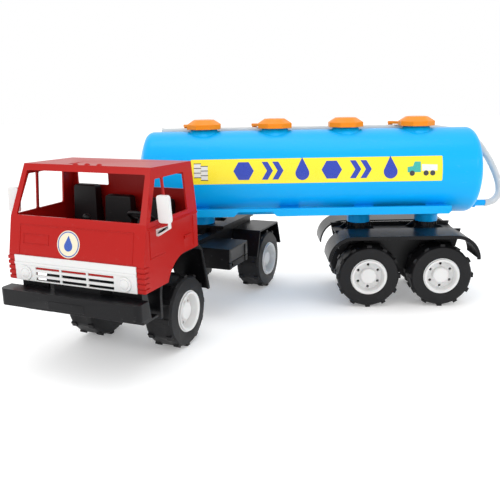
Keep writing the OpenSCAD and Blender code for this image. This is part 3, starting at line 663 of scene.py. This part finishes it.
@dataclass
class Studio:
    """The camera, the pale floor and the soft lights."""

    camera_mm: Point3 = (-30.0, -933.0, 339.0)
    azimuth: float = -0.56
    elevation: float = 14.24
    roll: float = -1.04
    lens: float = 45.9
    paper_glow: float = 0.2
    air: float = 1.0

    def camera(self) -> None:
        """Makes the camera: it looks along +Y, a little down."""
        az, el, roll = (math.radians(v) for v in (self.azimuth, self.elevation, self.roll))
        ahead = Vector((math.sin(az) * math.cos(el), math.cos(az) * math.cos(el), -math.sin(el)))
        level = Vector((math.cos(az), -math.sin(az), 0.0))
        above = level.cross(ahead)
        right = math.cos(roll) * level + math.sin(roll) * above
        up = math.cos(roll) * above - math.sin(roll) * level
        data = bpy.data.cameras.new("studio_camera")
        data.lens = self.lens
        data.sensor_width = 36.0
        data.clip_start = 0.05
        data.clip_end = 30.0
        camera = bpy.data.objects.new("studio_camera", data)
        bpy.context.scene.collection.objects.link(camera)
        turn = Matrix((right, up, -ahead)).transposed().to_4x4()
        camera.matrix_world = Matrix.Translation(Vector(self.camera_mm) * MM) @ turn
        bpy.context.scene.camera = camera

    def floor(self) -> None:
        """Lays the floor."""
        bm = bmesh.new()
        bmesh.ops.create_grid(bm, x_segments=2, y_segments=2, size=6.0)
        mesh = bpy.data.meshes.new("studio_floor")
        bm.to_mesh(mesh)
        bm.free()
        floor = bpy.data.objects.new("studio_floor", mesh)
        bpy.context.scene.collection.objects.link(floor)
        material = bpy.data.materials.new("studio_paper")
        material.use_nodes = True
        shader = material.node_tree.nodes["Principled BSDF"]
        shader.inputs["Base Color"].default_value = (0.95, 0.95, 0.95, 1.0)
        shader.inputs["Roughness"].default_value = 0.8
        shader.inputs["Emission Color"].default_value = (1.0, 1.0, 1.0, 1.0)
        shader.inputs["Emission Strength"].default_value = self.paper_glow
        mesh.materials.append(material)

    def light(self, name: str, place: Point3, aim: Point3, size: float, power: float) -> None:
        """Hangs one soft box.

        Args:
            name: the light's name.
            place: where it hangs, in metres.
            aim: the point it faces, in metres.
            size: its side, in metres.
            power: its power, in watts.
        """
        data = bpy.data.lights.new(name, "AREA")
        data.shape = "RECTANGLE"
        data.size = size
        data.size_y = size * 0.6
        data.energy = power
        lamp = bpy.data.objects.new(name, data)
        bpy.context.scene.collection.objects.link(lamp)
        ray = Vector(aim) - Vector(place)
        turn = ray.to_track_quat("-Z", "Y").to_matrix().to_4x4()
        lamp.matrix_world = Matrix.Translation(Vector(place)) @ turn

    def surround(self) -> None:
        """Fills the room with even white light."""
        world = bpy.data.worlds.new("studio_air")
        world.use_nodes = True
        world.node_tree.nodes["Background"].inputs["Color"].default_value = (1.0, 1.0, 1.0, 1.0)
        world.node_tree.nodes["Background"].inputs["Strength"].default_value = self.air
        bpy.context.scene.world = world

    def build(self) -> None:
        """Builds the whole studio."""
        self.camera()
        self.floor()
        self.surround()
        self.light("overhead_box", (0.1, 0.1, 1.9), (0.0, 0.0, 0.1), 1.6, 8.0)
        self.light("left_box", (-1.5, -1.5, 1.1), (0.0, 0.0, 0.1), 1.0, 7.0)
        self.light("right_box", (1.5, -1.3, 0.9), (0.1, 0.0, 0.1), 1.0, 5.0)
        bpy.context.scene.view_settings.view_transform = "Standard"


@dataclass
class AxleSet:
    """One axle: its rod, two tyres and two dished hubs."""

    body: Body
    prefix: str
    rod: str

    def build(self) -> None:
        """Builds the axle's pieces."""
        refine(self.rod, STEEL, self.body, 0.4)
        for side in ("left", "right"):
            refine(f"{self.prefix}_tyre_{side}", TYRE, self.body, 0.8)
            refine(f"{self.prefix}_hub_{side}", WHITE, self.body, 0.5)


@dataclass
class TankLabel:
    """The printed band on each side of the tank, with plain shapes in place of words."""

    radius: float = 67.5
    axis_z: float = 206.0
    x0: float = -10.0
    x1: float = 371.0
    low: float = -8.0
    high: float = 30.0
    film: float = 0.15
    step: float = 3.0

    def wrap(self, bm: bmesh.types.BMesh, side: int) -> None:
        """Bends a flat mesh round the tank.

        Args:
            bm: the flat mesh: x along the tank, y up its side, z off its surface.
            side: -1 for the near side, 1 for the far side.
        """
        for level in range(int(self.low // self.step), int(self.high // self.step) + 2):
            bmesh.ops.bisect_plane(bm, geom=bm.verts[:] + bm.edges[:] + bm.faces[:],
                                   plane_co=(0, level * self.step * MM, 0), plane_no=(0, 1, 0), dist=1e-7)
        for vert in bm.verts:
            x, s, h = vert.co
            turn = s / (self.radius * MM)
            reach = self.radius * MM + h
            vert.co = Vector((x, side * reach * math.cos(turn), self.axis_z * MM + reach * math.sin(turn)))
        bm.transform(GROUND.trailer())

    def shape(self, name: str, outlines: Iterable[Sequence[Point2]], finish: Finish, level: int) -> None:
        """Adds one printed layer on both sides.

        Args:
            name: the layer's name.
            outlines: its flat outlines, in millimetres.
            finish: its ink.
            level: how many layers lie under it.
        """
        for side, word in ((-1, "near"), (1, "far")):
            bm = bmesh.new()
            low = 0.04 + level * self.film
            for outline in outlines:
                points = outline if side < 0 else [(self.x0 + self.x1 - x, y) for x, y in outline]
                plate(bm, points, low, low + self.film)
            self.wrap(bm, side)
            add_piece(f"label_{name}_{word}", bm, finish, Body.TRAILER)

    def band(self) -> list[Point2]:
        """Gives the band's outline, with small round corners."""
        corner = 1.6
        points: list[Point2] = []
        for x, y, start in ((self.x1, self.high, 0), (self.x0, self.high, 90), (self.x0, self.low, 180),
                            (self.x1, self.low, 270)):
            inward_x = x - corner if x == self.x1 else x + corner
            inward_y = y - corner if y == self.high else y + corner
            points += circle_points(inward_x, inward_y, corner, 6, start, 90)
        return points

    def drop(self, x: float, y: float, size: float) -> list[Point2]:
        """Gives a drop's outline.

        Args:
            x: its middle.
            y: the middle of its round part.
            size: the radius of its round part.

        Returns:
            The outline.
        """
        return [(x, y + 2.3 * size)] + circle_points(x, y, size, 22, 150, 240)

    def chevron(self, x: float, y: float, reach: float) -> list[Point2]:
        """Gives a chevron's outline, pointing along the tank.

        Args:
            x: its tail.
            y: its middle height.
            reach: half its height.

        Returns:
            The outline.
        """
        arm = 9.0
        return [(x, y - reach), (x + arm, y - reach), (x + arm + 8, y), (x + arm, y + reach), (x, y + reach),
                (x + 8, y)]

    def hexagon(self, x: float, y: float, size: float) -> list[Point2]:
        """Gives a hexagon's outline."""
        return circle_points(x, y, size, 6, 0)

    def build(self) -> None:
        """Builds the band, its shapes and its two small pictures."""
        middle = (self.low + self.high) / 2 + 0.5
        self.shape("band", [self.band()], LABEL_YELLOW, 0)
        marks: list[list[Point2]] = []
        pitch, first = 44.5, 70.0
        for k in range(6):
            x = first + pitch * k
            if k % 3 == 0:
                marks.append(self.hexagon(x, middle, 15.5))
            elif k % 3 == 1:
                marks += [self.chevron(x - 17, middle, 13.5), self.chevron(x - 1, middle, 13.5)]
            else:
                marks.append(self.drop(x, middle - 4.5, 10.5))
        self.shape("marks", marks, LABEL_BLUE, 1)
        self.drums(middle)
        self.little_truck(middle)

    def drums(self, middle: float) -> None:
        """Draws two plain drums at the front end of the band."""
        shells, hoops = [], []
        for x, y in ((0.0, middle + 1.5), (10.5, middle - 2.5)):
            shells.append([(x - 5, y - 11), (x + 5, y - 11), (x + 5, y + 11), (x - 5, y + 11)])
            for level in (-11.0, -4.0, 3.0, 10.0):
                hoops.append([(x - 5.6, y + level), (x + 5.6, y + level), (x + 5.6, y + level + 1.1),
                              (x - 5.6, y + level + 1.1)])
        self.shape("drums", shells[:1], LABEL_WHITE, 1)
        self.shape("drums_front", shells[1:], LABEL_WHITE, 2)
        self.shape("hoops", hoops[:4], LABEL_DARK, 2)
        self.shape("hoops_front", hoops[4:], LABEL_DARK, 3)

    def little_truck(self, middle: float) -> None:
        """Draws a plain lorry at the rear end of the band."""
        x = 318.0
        cab = [(x, middle - 6), (x + 20, middle - 6), (x + 20, middle + 10), (x + 11, middle + 10),
               (x + 8, middle + 3), (x, middle + 2)]
        bed = [(x + 21.5, middle - 4), (x + 45, middle - 4), (x + 45, middle + 5), (x + 21.5, middle + 6)]
        wheels = [circle_points(x + dx, middle - 7.5, 3.9, 20) for dx in (7, 28, 38)]
        self.shape("lorry_cab", [cab], LABEL_GREEN, 1)
        self.shape("lorry_bed", [bed], LABEL_WHITE, 1)
        self.shape("lorry_wheels", wheels, LABEL_DARK, 2)


@dataclass
class Hose:
    """The clear hose from the rear spigot, up over the tank's end and along its top."""

    outer: float = 11.0
    wall: float = 1.5
    sides: int = 20
    steps: int = 3
    points: tuple[Point3, ...] = (
        (462, 0, 151), (465, 0, 151), (473.5, 1, 153), (480.5, 3, 157.5), (485.5, 6, 164.5), (487, 9, 173),
        (486.5, 13, 183), (484, 18, 194), (480, 24, 206), (475, 30, 218), (469, 36, 229), (462, 42, 240.5),
        (454, 46.5, 250), (444, 48.5, 257.5), (432, 48, 261.5), (418, 45, 264.2), (402, 40.5, 267.3),
        (385, 36.5, 269.8), (365, 34, 271.1), (340, 33, 271.6))
    top_x: tuple[float, ...] = tuple(300.0 - 40.0 * k for k in range(10)) + (-63.0,)

    def route(self) -> list[Vector]:
        """Gives the hose's centre line.

        Returns:
            Its points in the row frame, on one smooth curve through the chosen ones.
        """
        chosen = [Vector(p) for p in self.points] + [Vector((x, 33.0, 271.6)) for x in self.top_x]
        smooth: list[Vector] = []
        for i in range(len(chosen) - 1):
            near = [chosen[min(max(k, 0), len(chosen) - 1)] for k in range(i - 1, i + 3)]
            before, here, there, after = near
            for k in range(self.steps):
                t = k / self.steps
                smooth.append(0.5 * ((2 * here) + (there - before) * t
                                     + (2 * before - 5 * here + 4 * there - after) * t * t
                                     + (3 * here - before - 3 * there + after) * t ** 3))
        smooth.append(chosen[-1])
        return [GROUND.trailer() @ (p * MM) for p in smooth]

    def build(self) -> None:
        """Builds the hose as a tube with a real wall and an open bore."""
        route = self.route()
        bm = bmesh.new()
        rings = []
        side = Vector((0, 1, 0))
        for i, point in enumerate(route):
            way = (route[min(i + 1, len(route) - 1)] - route[max(i - 1, 0)]).normalized()
            side = (side - way * side.dot(way)).normalized()
            turn = Matrix((side, way.cross(side), way)).transposed().to_4x4()
            made = bmesh.ops.create_circle(bm, cap_ends=False, segments=self.sides,
                                           radius=self.outer / 2 * MM,
                                           matrix=Matrix.Translation(point) @ turn)
            edges = list({e for v in made["verts"] for e in v.link_edges})
            if rings:
                bmesh.ops.bridge_loops(bm, edges=rings + edges)
            rings = edges
        hose = add_piece("clear_hose", bm, TUBE, Body.TRAILER)
        wall = hose.modifiers.new("hose_wall", "SOLIDIFY")
        wall.thickness = self.wall * MM
        wall.offset = -1.0
        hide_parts("fuel_hose")
        length = sum((b - a).length for a, b in zip(route, route[1:]))
        LOG.info("hose length %.3f m", length)
        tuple(route[0])


@dataclass
class Trailer:
    """The tank, its cradle, the bogie and what is fixed to them."""

    label: TankLabel = field(default_factory=TankLabel)
    hose: Hose = field(default_factory=Hose)

    def build(self) -> None:
        """Builds the trailer's pieces."""
        self.hose.build()
        refine("tank_shell", BLUE, Body.TRAILER, 0.5)
        refine("tank_cradle", BLUE, Body.TRAILER, 0.9)
        for k in range(1, 5):
            refine(f"filler_neck_{k}", BLUE, Body.TRAILER, 0.5)
        refine("drain_spigot", BLUE, Body.TRAILER, 0.4)
        refine("kingpin", STEEL, Body.TRAILER, 0.6)
        refine("bogie_frame", FRAME_BLACK, Body.TRAILER, 0.5)
        refine("leg_screws", STEEL, Body.TRAILER, 0.3)
        for side in ("left", "right"):
            refine(f"bogie_guard_{side}", GLOSS_BLACK, Body.TRAILER, 0.8)
        for k, body in enumerate((Body.CAP_1, Body.CAP_2, Body.CAP_3, Body.CAP_4), 1):
            refine(f"fill_cap_{k}", ORANGE, body, 1.0, 3)
        self.label.build()


@dataclass
class CabTrim:
    """The beads, panel lines and badge on the cab, in the tractor's own axes."""

    half: float = 98.0
    nose_x: float = 331.5
    nose_z: float = 146.0
    belt_x: float = 322.0
    belt_z: float = 191.5
    bead: float = 1.1
    rise: float = 0.55
    sunk: float = 0.4
    panel_half: float = 82.0
    panel_top: float = 37.0
    name_plate: tuple[Point2, Point2] = ((-76.0, 14.0), (-38.0, 25.5))
    door_lines: tuple[tuple[float, ...], ...] = ((213, 146, 213, 183), (316, 151, 316, 183),
                                                 (284, 151, 316, 151))
    badge_r: float = 16.5
    badge_y: float = -8.0
    badge_up: float = 17.5

    def slope(self) -> Matrix:
        """Gives the leaning front's own axes: x to the tractor's left, y up the panel, z off it.

        Returns:
            The matrix from those axes to the row frame.
        """
        up = Vector((self.belt_x - self.nose_x, 0, self.belt_z - self.nose_z)).normalized()
        left = Vector((0, 1, 0))
        off = left.cross(up)
        panel = Matrix((left, up, off)).transposed().to_4x4()
        return GROUND.tractor() @ Matrix.Translation(Vector((self.nose_x, 0, self.nose_z)) * MM) @ panel

    def strip(self, bm: bmesh.types.BMesh, x0: float, y0: float, x1: float, y1: float) -> None:
        """Adds a straight bead to a flat mesh.

        Args:
            bm: the mesh.
            x0: its low end's x.
            y0: its low end's y.
            x1: its high end's x.
            y1: its high end's y.
        """
        half = self.bead / 2
        block(bm, (x0 - half, y0 - half, -self.sunk), (x1 + half, y1 + half, self.rise))

    def front_beads(self) -> None:
        """Adds the front panel's outline and the empty name plate."""
        bm = bmesh.new()
        (left, low), (right, high) = self.name_plate
        self.strip(bm, -self.panel_half, self.panel_top, self.panel_half, self.panel_top)
        for x in (-self.panel_half, self.panel_half):
            self.strip(bm, x, 1, x, self.panel_top)
        for y in (low, high):
            self.strip(bm, left, y, right, y)
        for x in (left, right):
            self.strip(bm, x, low, x, high)
        bm.transform(self.slope())
        piece = add_piece("cab_front_beads", bm, RED, Body.TRACTOR, tidy=False)
        round_edges(piece, 0.35)

    def side_beads(self) -> None:
        """Adds the door's outline on both sides."""
        for side, word in ((1, "left"), (-1, "right")):
            bm = bmesh.new()
            for x0, z0, x1, z1 in self.door_lines:
                out = side * self.half
                low, high = sorted((out - self.sunk * side, out + self.rise * side))
                block(bm, (x0 - 0.5, low, z0 - 0.5), (x1 + 0.5, high, z1 + 0.5))
            bm.transform(GROUND.tractor())
            piece = add_piece(f"cab_door_beads_{word}", bm, RED, Body.TRACTOR, tidy=False)
            round_edges(piece, 0.3)

    def badge(self) -> None:
        """Adds a plain round sticker with a drop on it."""
        film_top, ink_top = 0.2, 0.32
        place = self.slope() @ Matrix.Translation(Vector((self.badge_y, self.badge_up, 0)) * MM)
        drop = [(0, 10.5)] + circle_points(0, -2.5, 6.0, 22, 150, 240)
        for name, outline, low, high, finish in (
                ("badge_disc", circle_points(0, 0, self.badge_r, 64), 0.03, film_top, BADGE_CREAM),
                ("badge_drop", drop, film_top, ink_top, BADGE_BLUE)):
            bm = bmesh.new()
            plate(bm, outline, low, high)
            bm.transform(place)
            add_piece(name, bm, finish, Body.TRACTOR)
        bm = bmesh.new()
        inside, outside = self.badge_r - 2.4, self.badge_r - 1.2
        spun(bm, [(inside, film_top), (outside, film_top), (outside, ink_top), (inside, ink_top)], 64)
        bm.transform(place)
        add_piece("badge_ring", bm, BADGE_BLUE, Body.TRACTOR)

    def build(self) -> None:
        """Builds the cab's trim."""
        self.front_beads()
        self.side_beads()
        self.badge()


@dataclass
class Grille:
    """The white grille panel: three rows of three slots between two round headlights."""

    face_x: float = 331.5
    low: float = 113.5
    high: float = 145.5
    half: float = 88.2
    thick: float = 2.0
    slot_w: float = 36.0
    slot_gap: float = 3.0
    slot_h: float = 3.5
    first_slot: float = 1.6
    slot_pitch: float = 6.95
    ledge_low: float = 20.5
    ledge_high: float = 23.5
    lamp_y: float = 72.0
    lamp_z: float = 10.0
    lamp_r: float = 9.0

    def bars(self, bm: bmesh.types.BMesh) -> None:
        """Adds the panel's bars, which leave the slots open.

        Args:
            bm: the mesh.
        """
        back, front = self.face_x, self.face_x + self.thick
        edge = 1.5 * self.slot_w + self.slot_gap
        for side in (-1, 1):
            low, high = sorted((side * edge, side * self.half))
            block(bm, (back, low, self.low), (front, high, self.high))
        heights = [self.low]
        for row in range(3):
            foot = self.low + self.first_slot + row * self.slot_pitch
            heights += [foot, foot + self.slot_h - (0.6 if row == 2 else 0.0)]
        heights.append(self.high)
        for foot, top in zip(heights[::2], heights[1::2]):
            block(bm, (back + 0.02, -edge - 0.2, foot), (front - 0.02, edge + 0.2, top))
        post_top = self.low + self.first_slot + 3 * self.slot_pitch
        for side in (-1, 1):
            middle = side * (self.slot_w + self.slot_gap) / 2
            block(bm, (back + 0.04, middle - self.slot_gap / 2, self.low + 0.2),
                  (front - 0.04, middle + self.slot_gap / 2, post_top))
        block(bm, (front - 0.5, -self.half, self.low + self.ledge_low),
              (front + 1.0, self.half, self.low + self.ledge_high))

    def lamps(self) -> None:
        """Adds the two round headlights, each with a shallow domed glass moulded in."""
        turn = Matrix.Rotation(math.pi / 2, 4, "Y")
        rise, rim = self.thick + 1.6, self.lamp_r
        profile = [(0.0, 0.0), (rim, 0.0), (rim, rise - 0.4), (rim - 0.4, rise), (rim - 2.4, rise),
                   (rim - 3.0, rise - 0.5), (rim - 3.4, rise + 0.2), (rim - 5.5, rise + 0.85),
                   (0.0, rise + 1.0)]
        for side in (-1, 1):
            lamp = bmesh.new()
            verts = [lamp.verts.new((r * MM, 0.0, z * MM)) for r, z in profile]
            edges = [lamp.edges.new(pair) for pair in zip(verts, verts[1:])]
            bmesh.ops.spin(lamp, geom=verts + edges, cent=(0, 0, 0), axis=(0, 0, 1), angle=2 * math.pi,
                           steps=48, use_merge=True)
            bmesh.ops.remove_doubles(lamp, verts=lamp.verts, dist=0.002 * MM)
            middle = Vector((self.face_x, side * self.lamp_y, self.low + self.lamp_z)) * MM
            lamp.transform(GROUND.tractor() @ Matrix.Translation(middle) @ turn)
            piece = add_piece(f"headlight_{'left' if side > 0 else 'right'}", lamp, WHITE, Body.TRACTOR)
            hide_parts("grille_panel")

    def build(self) -> None:
        """Builds the panel, which replaces its node."""
        bm = bmesh.new()
        self.bars(bm)
        bm.transform(GROUND.tractor())
        panel = add_piece("grille_moulding", bm, WHITE, Body.TRACTOR, tidy=False)
        round_edges(panel, 0.35)
        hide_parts("grille_panel")
        self.lamps()


@dataclass
class Tractor:
    """The cab, its inside, the frame and everything bolted to it."""

    trim: CabTrim = field(default_factory=CabTrim)
    grille: Grille = field(default_factory=Grille)

    def build(self) -> None:
        """Builds the tractor's pieces."""
        refine("cab_shell", RED, Body.TRACTOR, 0.9, 3)
        refine("cab_interior", SEAT_BLACK, Body.TRACTOR, 2.0, 3)
        refine("steering_wheel", SEAT_BLACK, Body.TRACTOR, 0.4)
        self.grille.build()
        refine("front_bumper", GLOSS_BLACK, Body.TRACTOR, 1.6, 3)
        for node in ("chassis_frame", "fifth_wheel_plate"):
            refine(node, FRAME_BLACK, Body.TRACTOR, 0.8)
        for node in ("plate_screws", "cab_screws"):
            refine(node, STEEL, Body.TRACTOR, 0.3)
        for side in ("left", "right"):
            refine(f"mirror_{side}", WHITE, Body.TRACTOR, 1.1, 3)
            refine(f"front_guard_{side}", GLOSS_BLACK, Body.TRACTOR, 0.8)
            refine(f"rear_guard_{side}", GLOSS_BLACK, Body.TRACTOR, 0.8)
            refine(f"step_{side}", FRAME_BLACK, Body.TRACTOR, 0.8)
            refine(f"side_box_{side}", FRAME_BLACK, Body.TRACTOR, 0.9)
        self.trim.build()


AXLES = (
    AxleSet(Body.FRONT_AXLE, "front", "front_axle_rod"),
    AxleSet(Body.DRIVE_AXLE, "drive", "drive_axle_rod"),
    AxleSet(Body.BOGIE_FRONT, "bogie_front", "bogie_front_rod"),
    AxleSet(Body.BOGIE_REAR, "bogie_rear", "bogie_rear_rod"),
)


def main() -> None:
    """Builds the studio and then the toy, one sub-assembly after another."""
    logging.basicConfig(level=logging.INFO, format="%(name)s: %(message)s")
    Studio().build()
    Trailer().build()
    Tractor().build()
    for axle in AXLES:
        axle.build()


if __name__ == "__main__":
    main()
